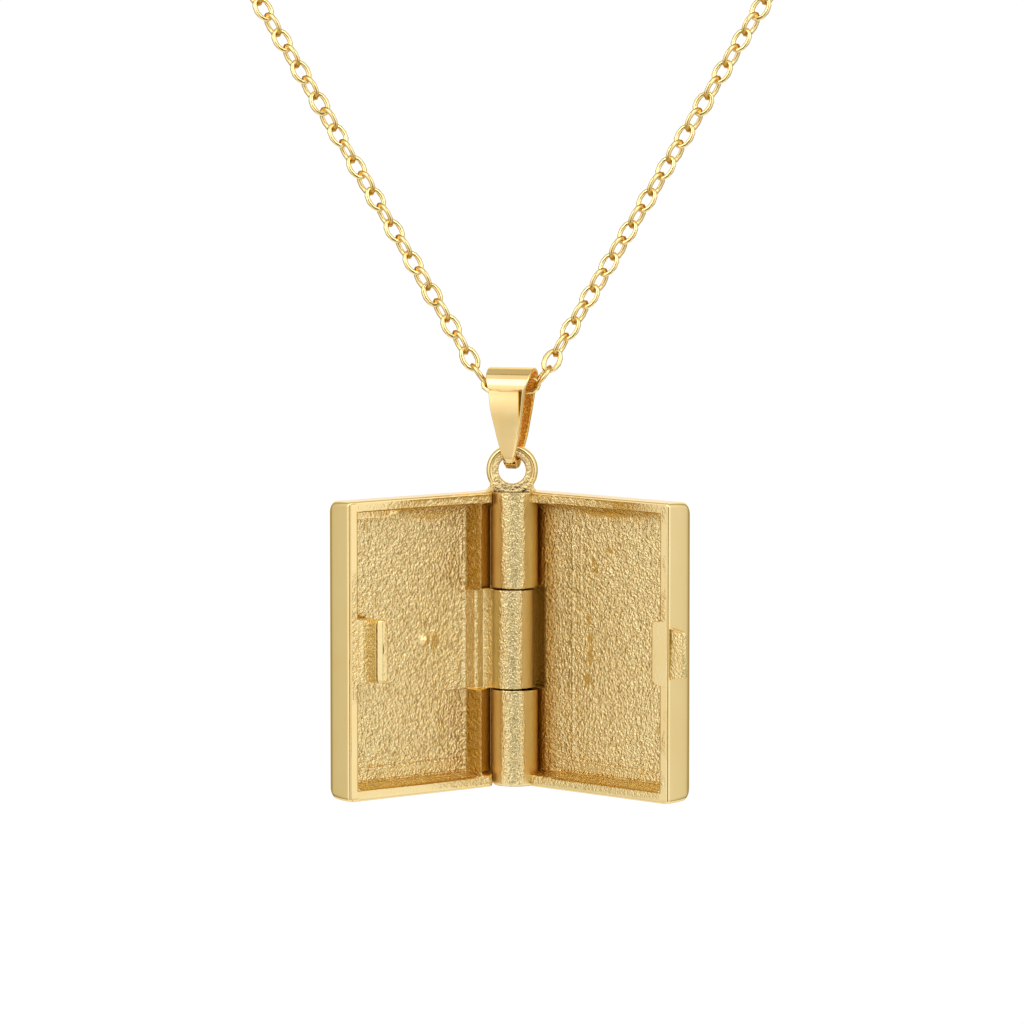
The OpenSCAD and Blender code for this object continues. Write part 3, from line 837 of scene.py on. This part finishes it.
def eye_piece():
    """Eye that is cast with its foot: the two are melted together, then get their relief."""
    bm = eye_blank()
    # The foot is a plate with a waist, cut round under the hole
    foot = [(-1.55, -1.6), (1.55, -1.6), (1.6, -1.36), (1.48, -1.24), (1.42, -1.1), (1.45, -0.9), (1.3, -0.6),
            (1.02, -0.35), (0.86, -0.5), (0.66, -0.76), (0.36, -0.96), (0, -1.02), (-0.36, -0.96), (-0.66, -0.76),
            (-0.86, -0.5), (-1.02, -0.35), (-1.3, -0.6), (-1.48, -0.9), (-1.5, -1.1), (-1.64, -1.24), (-1.74, -1.36)]
    plate = bm.faces.new([bm.verts.new((x, -EYE_FOOT_T / 2, z)) for x, z in foot])
    back_side = bmesh.ops.extrude_face_region(bm, geom=[plate])["geom"]
    bmesh.ops.translate(bm, vec=(0, EYE_FOOT_T, 0), verts=verts_in(back_side))
    bmesh.ops.recalc_face_normals(bm, faces=bm.faces)
    obj = mesh_object("eye_blank", bm)
    remesh = obj.modifiers.new("remesh", "REMESH")
    remesh.mode = "VOXEL"
    remesh.voxel_size = EYE_VOXEL
    smooth = obj.modifiers.new("smooth", "SMOOTH")
    smooth.factor, smooth.iterations = 0.5, 5
    bm = bmesh.new()
    bm.from_object(obj, bpy.context.evaluated_depsgraph_get())
    blank = obj.data
    bpy.data.objects.remove(obj)
    bpy.data.meshes.remove(blank)
    layer = set_finish_and_shade(bm, bm.verts, 0.1)
    bm.normal_update()
    moves = []
    for vert in bm.verts:
        x, y, z = vert.co
        r = hypot(x, z)
        low = clamp((-0.35 - z) / 0.6)
        inner = clamp((EYE_PLATE_R - r) / 0.06) * clamp((-y - 0.15) / 0.15)
        rough = max(0.95 * low, 0.85 * inner, 0.05)
        bite = drift(x * 6.5, y * 6.5, z * 6.5 + 31) + 0.5 * drift(x * 2.6, y * 2.6, z * 2.6 + 31)
        groove = bell(r - EYE_GROOVE_R, 0.045) * clamp((-y - 0.1) / 0.15)
        groove *= clamp((z + 0.9) / 0.4) * clamp(0.5 + 0.8 * x)
        moves.append((vert, vert.normal.copy(), 0.009 * bite * rough - 0.045 * groove))
        # Painted shade in the groove round the hole; the foot is also a little darker towards the bottom
        vert[layer] = (rough, max(0.2 * low, 0.5 * groove), clamp(0.5 + 0.5 * bite), 0.1 + 0.5 * max(inner, low))
    for vert, normal, amount in moves:
        vert.co += normal * amount
    bmesh.ops.translate(bm, vec=EYE, verts=bm.verts)
    return bm


make_piece("eye", eye_piece(), "leaf_right", CAST)


# Bail: half widths by height from the roll's middle
BAIL_WIDTHS = [(-5.37, 0.34), (-5.33, 0.39), (-5.25, 0.42), (-5.05, 0.43), (-4.6, 0.45), (-4.1, 0.59), (-3.29, 0.79),
               (-1.66, 1.05), (0.0, 1.27), (0.8, 1.5), (1.2, 1.56), (1.6, 1.6)]
ROLL_R = 1.5
SHEET_T = 0.3
TIP_R, TIP_Z = 0.95, -4.42
SEAT_R, SEAT_Z = 0.79, -3.99


def drop_path(r0, r1, z1):
    """Points (y, z) round the strap's drop shape, from the back over the roll, down the front and round the tip."""
    lean = asin((r0 - r1) / -z1)
    front, rear = pi + lean, 2 * pi - lean
    turns = [mix(-lean, pi - 0.12, i / 24) for i in range(25)]
    turns += [pi + lean * t for t in (-0.7, -0.5, -0.3, -0.12, 0.0, 0.12, 0.3, 0.5, 0.75, 1.0)]
    points = [(r0 * cos(a), r0 * sin(a)) for a in turns]
    round_tip = [(r1 * cos(mix(front, rear, i / 44)), z1 + r1 * sin(mix(front, rear, i / 44))) for i in range(45)]
    legs = [[(mix(r0, r1, i / 30) * cos(a), mix(r0 * sin(a), z1 + r1 * sin(a), i / 30)) for i in range(1, 30)]
            for a in (front, rear)]
    return points + legs[0] + round_tip + legs[1][::-1]


# Depth of the scoop in the front leg by height
FIELD = [(-5.0, 0.05), (-2.4, 0.05), (-1.7, 0.06), (-1.2, 0.1), (-0.9, 0.19), (-0.5, 0.32), (-0.15, 0.43),
         (0.2, 0.43)]


def painted_wedge_share(border, x, z):
    """1 in the narrow wedge of painted shade beside the front leg's right border, which closes on the way down."""
    if x < 0 or z < -2.8:
        return 0.0
    width = 0.4 * clamp((z + 2.7) / 2.6) ** 1.4
    return clamp((border - 0.15) / 0.04) * clamp((0.17 + width - border) / 0.06) * clamp((-0.02 - z) / 0.05)


def front_relief(x, y, z, half):
    """How far the front leg's face lies behind the drop: a scoop between two thin borders, deepest in the
    crease under the roll, with a round end above the strap's loop."""
    if y > -0.3 or z > 0.25:
        return 0.0
    border = half - x if x > 0 else 1.0
    end_z, end_r = -4.99, 0.46
    if z < end_z + end_r:
        border = min(border, end_r - hypot(x, end_z + end_r - z) + 0.1)
    deep = soft_along(FIELD, z, 0.3)
    t = 1 - clamp((border - 0.16) / (0.03 + 0.1 * deep))
    crease = 0.02 + 0.12 * (abs(x) / half) ** 4
    field = sqrt(1 - t * t) * clamp((crease - z) / 0.06)
    sag = ramp(-1.5 - z, 1.1) * (1 - ramp(-3.2 - z, 1.0)) * clamp(0.55 + 0.9 * x / half)
    deep += 0.055 * sag
    return deep * field + 0.1 * clamp((0.1 - border) / 0.05) * clamp((end_z + end_r - z) / 0.1)


def bail_piece():
    """Strap of sheet, rolled over at the top and pinched shut at the tip."""
    outer = drop_path(ROLL_R, TIP_R, TIP_Z)
    inner = drop_path(ROLL_R - SHEET_T, SEAT_R, SEAT_Z)
    from_edge = [0.0, 0.025, 0.06, 0.08, 0.1, 0.13, 0.16, 0.2, 0.25, 0.3, 0.36, 0.42, 0.48, 0.54, 0.6]
    inside_edge = [0.0, 0.03, 0.08]
    shares = [0.75, 0.5, 0.25]
    cols = len(outer)
    outer_row = [(-1, e, 1) for e in from_edge] + [(-1, 0.6, c) for c in shares] + [(0, 0, 0)]
    outer_row += [(1, 0.6, c) for c in reversed(shares)] + [(1, e, 1) for e in reversed(from_edge)]
    inner_row = [(1, e, 1) for e in inside_edge] + [(1, 0.08, 0.5), (0, 0, 0), (-1, 0.08, 0.5)]
    inner_row += [(-1, e, 1) for e in reversed(inside_edge)]
    ring = [(0, spot) for spot in outer_row] + [(1, spot) for spot in inner_row] + [(0, outer_row[0])]
    bm = bmesh.new()
    layer = set_finish_and_shade(bm, [], 0)
    bmesh.ops.create_grid(bm, x_segments=cols, y_segments=len(ring) - 1, size=0.5)
    for index, vert in enumerate(list(bm.verts)):
        i, j = index % (cols + 1) % cols, index // (cols + 1)
        within, (hand, off, share) = ring[j]
        (y, z), (inner_y, inner_z) = outer[i], inner[i]
        away = Vector((0, y - inner_y, z - inner_z)).normalized()
        half = along(BAIL_WIDTHS, z)
        # The front leg's left border bulges a little
        if hand < 0 and (inner_y if within else y) < -0.3:
            half_here = half + 0.13 * clamp(-z / 0.12) * ramp(z + 3.4, 2.6)
        else:
            half_here = half
        x = hand * (half_here - off * min(1, half / 1.2)) * share
        edge = clamp(1 - (half_here - abs(x)) / 0.065) ** 2 * 0.05
        if within:
            y, z = inner_y, inner_z
            depth = 0.5 * front_relief(0, y, z, 1) * clamp((z + 3.4) / 1.0) - edge
        else:
            depth = edge + front_relief(x, y, z, half)
        vert.co = Vector((x, y, z)) - away * depth
        # Painted shade: the strap's whole inside, and an almost black wedge beside the front leg's right border
        painted_wedge = 0 if within or y > -0.3 else painted_wedge_share(half - abs(x), x, z)
        loop = clamp((-4.2 - z) / 0.2)
        vert[layer] = (0.55 - 0.5 * loop, 0.92, 0.6, 0.6) if within else (0.0, 1.9 * painted_wedge, 0.6, 0.12)
    bmesh.ops.remove_doubles(bm, verts=bm.verts, dist=1e-4)
    bm.transform(Matrix.Translation(ROLL + Vector((BAIL_X, 0, 0))) @ Matrix.Rotation(-BAIL_TURN, 4, "Z"))
    return bm


make_piece("bail_strap", bail_piece(), "bail", SHEET, ["bail"], sharp=radians(50))


# Chain: half of the route of the solids' tube, from the bail's roll to the clasp
CHAIN_HALF = [
    (0, 0, 0.3), (0.8, 0, 0.3), (1.35, 0.04, 0.33), (1.75, 0.07, 0.5), (2.1, 0.1, 0.88), (2.6, 0.25, 1.67),
    (3.1, 0.5, 2.54), (3.73, 0.75, 3.62), (5.5, 1.4, 6.55), (9.8, 2.9, 13.7), (16.7, 5.4, 25.2),
    (27, 9.5, 41), (38, 17, 57), (47.5, 29, 71.5), (54.5, 44, 84), (58.5, 60, 94),
    (58, 77, 102), (52, 92, 107.5), (41, 104, 110.5), (27, 112, 111.7), (13, 117, 112),
    (4.6, 118, 112)]
CHAIN_SWAY, SWAY_END = 0.055, 44
CHAIN_TWIST, TWIST_TOP = 0.17, 2.5
LINK_PITCH = 1.27
LINK_L, LINK_W, LINK_WIRE = 1.92, 1.32, 0.34
LINK_SLACK = 0.16


def strand_point(p, side):
    """Point of the right (1) or left (-1) half. The loop sways a little, and turns with the bail at its foot."""
    x, y, z = p
    sway = CHAIN_SWAY * y * max(0, 1 - y / SWAY_END)
    twist = CHAIN_TWIST * x * max(0, 1 - z / TWIST_TOP)
    return ROLL + Vector((side * x - sway, y - side * twist, z))


def smooth_route(points, steps):
    """Curve through the points; each slope is weighted by the distances to the neighbours."""
    def slope(i):
        if i == 0:
            return (points[1] - points[0]).normalized()
        if i == len(points) - 1:
            return (points[i] - points[i - 1]).normalized()
        a, b = (points[i] - points[i - 1]).length, (points[i + 1] - points[i]).length
        return ((points[i] - points[i - 1]) / a * b + (points[i + 1] - points[i]) / b * a) / (a + b)
    out = []
    for i in range(len(points) - 1):
        h = (points[i + 1] - points[i]).length
        for k in range(steps):
            t = k / steps
            out.append((2 * t ** 3 - 3 * t ** 2 + 1) * points[i] + (t ** 3 - 2 * t ** 2 + t) * h * slope(i)
                       + (3 * t ** 2 - 2 * t ** 3) * points[i + 1] + (t ** 3 - t ** 2) * h * slope(i + 1))
    return out + [points[-1]]


def spaced(route, count, slack):
    """Points at equal distances along a route, with the route's direction there. The links beside the
    middle one are closer to it by the slack, so they aren't pulled tight inside the bail."""
    far = [0.0]
    for a, b in zip(route, route[1:]):
        far.append(far[-1] + (b - a).length)
    out, k = [], 0
    pitch = (far[-1] / 2 + slack) / ((count - 1) / 2)
    for i in range(count):
        from_middle = i - (count - 1) / 2
        want = far[-1] / 2 + pitch * from_middle - slack * clamp(from_middle, -1, 1)
        while k < len(far) - 2 and far[k + 1] < want:
            k += 1
        t = (want - far[k]) / (far[k + 1] - far[k])
        out.append((route[k].lerp(route[k + 1], clamp(t)), (route[k + 1] - route[k]).normalized()))
    return out


def link_mesh(odd):
    """One oval link of drawn wire, lying in the XZ plane with its length along X. Its ends are painted dark as
    shade where they bear on the next links."""
    ring_r = LINK_W / 2 - LINK_WIRE / 2
    bm = bmesh.new()
    ring = bmesh.ops.create_circle(bm, radius=LINK_WIRE / 2, segments=8, cap_ends=False)["verts"]
    bmesh.ops.scale(bm, vec=(1.04, 0.9, 1), verts=ring)
    bmesh.ops.translate(bm, vec=(ring_r, 0, 0), verts=ring)
    edges = list({e for v in ring for e in v.link_edges})
    bmesh.ops.spin(bm, geom=ring + edges, cent=(0, 0, 0), axis=(0, 1, 0), angle=2 * pi, steps=12, use_merge=True)
    bmesh.ops.remove_doubles(bm, verts=bm.verts, dist=1e-5)
    layer = set_finish_and_shade(bm, bm.verts, 0.1, 0.0, 0.1)
    for vert in bm.verts:
        far = hypot(vert.co.x, vert.co.z)
        inner = clamp((ring_r - far) / 0.1)
        end = clamp((abs(vert.co.x) - 0.32) / 0.14)
        # Painted shade at the ends, where the next links pass through
        vert[layer] = (0.1, (1.0 if odd else 1.3 * inner) * end, 0.6, 0.1)
        # The ring is drawn out into an oval
        vert.co.x += (LINK_L - LINK_W) / 2 * vert.co.x / far
    return bm


def chain_links():
    """All the links of the loop, each turned against its neighbours: by about 60 degrees, and by about 100 beside
    the bail."""
    route = smooth_route([strand_point(p, -1) for p in reversed(CHAIN_HALF[1:])]
                         + [strand_point(p, 1) for p in CHAIN_HALF], 12)
    count = round(sum((b - a).length for a, b in zip(route, route[1:])) / LINK_PITCH) + 1
    rng = random.Random(4)
    bm = bmesh.new()
    set_finish_and_shade(bm, [], 0)
    side_ref = Vector((0, 0.6, 0.8))
    for i, (place, direction) in enumerate(spaced(route, count, LINK_SLACK)):
        one = link_mesh(i % 2 == 1)
        side = direction.cross(side_ref).normalized()
        up = side.cross(direction)
        from_bail = abs(i - (count - 1) / 2)
        near_bail = clamp((4.5 - from_bail) / 2)
        if i % 2:
            turn = mix(-4, -48, near_bail) + rng.uniform(-9, 9)
        elif from_bail < 1.6:
            turn = 72
        else:
            turn = mix(60, 50, near_bail) + rng.uniform(-9, 9)
        turn = radians(turn)
        flat = side * cos(turn) + up * sin(turn)
        normal = direction.cross(flat)
        axes = Matrix((direction, normal, flat)).transposed().to_4x4()
        one.transform(Matrix.Translation(place) @ axes)
        mesh = bpy.data.meshes.new("one_link")
        one.to_mesh(mesh)
        one.free()
        bm.from_mesh(mesh)
        bpy.data.meshes.remove(mesh)
    return bm


make_piece("chain_links", chain_links(), "chain", LINK_WIRE_GOLD, ["chain"])

for node_name, material in (("clasp", WIRE), ("hinge_pin", PIN)):
    node_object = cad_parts[node_name]
    node_object.data.materials.clear()
    node_object.data.materials.append(material)


# Studio, in metres: a white table far below, soft lights at both sides, and a room that is dim behind the camera

def stage_material():
    """Matt white card, lit evenly so that it shows as plain white."""
    mat, tree = new_material("white_card")
    place = add_node(tree, "TexCoord").outputs["Object"]
    fibre = add_node(tree, "TexNoise", links={"Vector": place, "Scale": 60, "Detail": 3})
    level = add_node(tree, "MapRange", links={"Value": fibre, "To Min": 1.02, "To Max": 1.04})
    shader = add_node(tree, "Emission", links={"Color": (1, 1, 1, 1), "Strength": level})
    add_node(tree, "OutputMaterial", links={"Surface": shader})
    return mat


def table():
    bm = bmesh.new()
    bmesh.ops.create_grid(bm, x_segments=4, y_segments=4, size=0.6)
    bmesh.ops.translate(bm, vec=(0, -0.05, -0.6), verts=bm.verts)
    obj = mesh_object("table", bm)
    obj.data.materials.append(stage_material())


table()


AIM = Vector((0, -0.118, -0.125))


def softbox(name, place, size, watts):
    """Rectangular soft light that faces the locket."""
    data = bpy.data.lights.new(name, "AREA")
    data.shape = "RECTANGLE"
    data.size, data.size_y = size
    data.energy = watts
    lamp = add_object(name, data)
    lamp.location = place
    lamp.rotation_mode = "QUATERNION"
    lamp.rotation_quaternion = (AIM - Vector(place)).to_track_quat("-Z", "Y")


softbox("softbox_left", (-0.47, -0.72, 0.51), (0.5, 0.45), 1.15)
softbox("softbox_right", (0.47, -0.72, 0.51), (0.5, 0.45), 1.15)

# The room: white to the camera; everything else sees a dim strip in front, where the camera stands, bright
# walls beside it, and dimmer, warmer walls at the sides and behind
world = bpy.data.worlds.new("studio")
bpy.context.scene.world = world
world.use_nodes = True
tree = world.node_tree
tree.nodes.clear()
way = add_node(tree, "TexCoord").outputs["Generated"]
split = add_node(tree, "SeparateXYZ", links={"Vector": way})
toward = add_node(tree, "Math", {"operation": "MULTIPLY"}, {0: split.outputs["Y"], 1: -1.0})
azimuth = add_node(tree, "Math", {"operation": "ARCTAN2"}, {0: split.outputs["X"], 1: toward})
turn_share = add_node(tree, "MapRange", links={"Value": azimuth, "From Min": -pi, "From Max": pi})
walls = add_node(tree, "ValToRGB", links={"Fac": turn_share})
walls.color_ramp.interpolation = "EASE"


def wall_stops(node, stops):
    """Sets a ramp's stops from (degrees from the camera, brightness) pairs. On the ramps by height and by
    depth, -180 to 180 stands for -1 to 1."""
    ramp_stops(node, [(0.5 + turn / 360, (level, level, level, 1)) for turn, level in stops])


wall_stops(walls, [(-180, 1.0), (-152, 0.9), (-143, 0.42), (-122, 0.42), (-108, 0.72), (-99, 0.79), (-88, 1.0),
                   (-64, 1.1), (-55, 1.4), (-40, 1.4), (-29, 1.08), (-22, 1.05), (-13, 0.24), (13, 0.24), (26, 1.15),
                   (80, 1.15), (93, 0.94), (102, 0.84), (112, 0.7), (122, 0.42), (143, 0.42), (152, 0.9), (180, 1.0)])
lift = add_node(tree, "ValToRGB", links={"Fac": add_node(tree, "MapRange", links={
    "Value": split.outputs["Z"], "From Min": -1.0, "From Max": 1.0})})
wall_stops(lift, [(-180, 0.6), (-90, 0.66), (-60, 0.78), (-16, 0.96), (8, 1.0), (80, 1.27), (180, 1.27)])
sides = add_node(tree, "Math", {"operation": "MULTIPLY"}, {0: walls, 1: lift})
ceiling = add_node(tree, "ValToRGB", links={"Fac": add_node(tree, "MapRange", links={
    "Value": split.outputs["Y"], "From Min": -1.0, "From Max": 1.0})})
ceiling.color_ramp.interpolation = "EASE"
wall_stops(ceiling, [(-180, 1.05), (-12, 1.05), (-5, 0.3), (3, 0.3), (10, 0.66), (180, 0.62)])
up_share = add_node(tree, "MapRange", {"interpolation_type": "SMOOTHSTEP"}, {
    "Value": split.outputs["Z"], "From Min": 0.5, "From Max": 0.8})
blend = add_node(tree, "Mix", {"data_type": "FLOAT"}, {"Factor": up_share, "A": sides, "B": ceiling})
level = blend.outputs["Result"]
bright = add_node(tree, "MapRange", links={"Value": level, "From Min": 0.2, "From Max": 0.95})
tint = add_node(tree, "Mix", {"data_type": "RGBA"}, {
    "Factor": bright, "A": srgb("FFF3BC"), "B": (1, 1, 1, 1)}).outputs["Result"]
room = add_node(tree, "Background", links={"Color": tint, "Strength": level})
paper = add_node(tree, "Background", links={"Color": (1, 1, 1, 1), "Strength": 1.03})
seen = add_node(tree, "LightPath").outputs["Is Camera Ray"]
shown = add_node(tree, "MixShader", links={0: seen, 1: room, 2: paper})
add_node(tree, "OutputWorld", links={"Surface": shown})
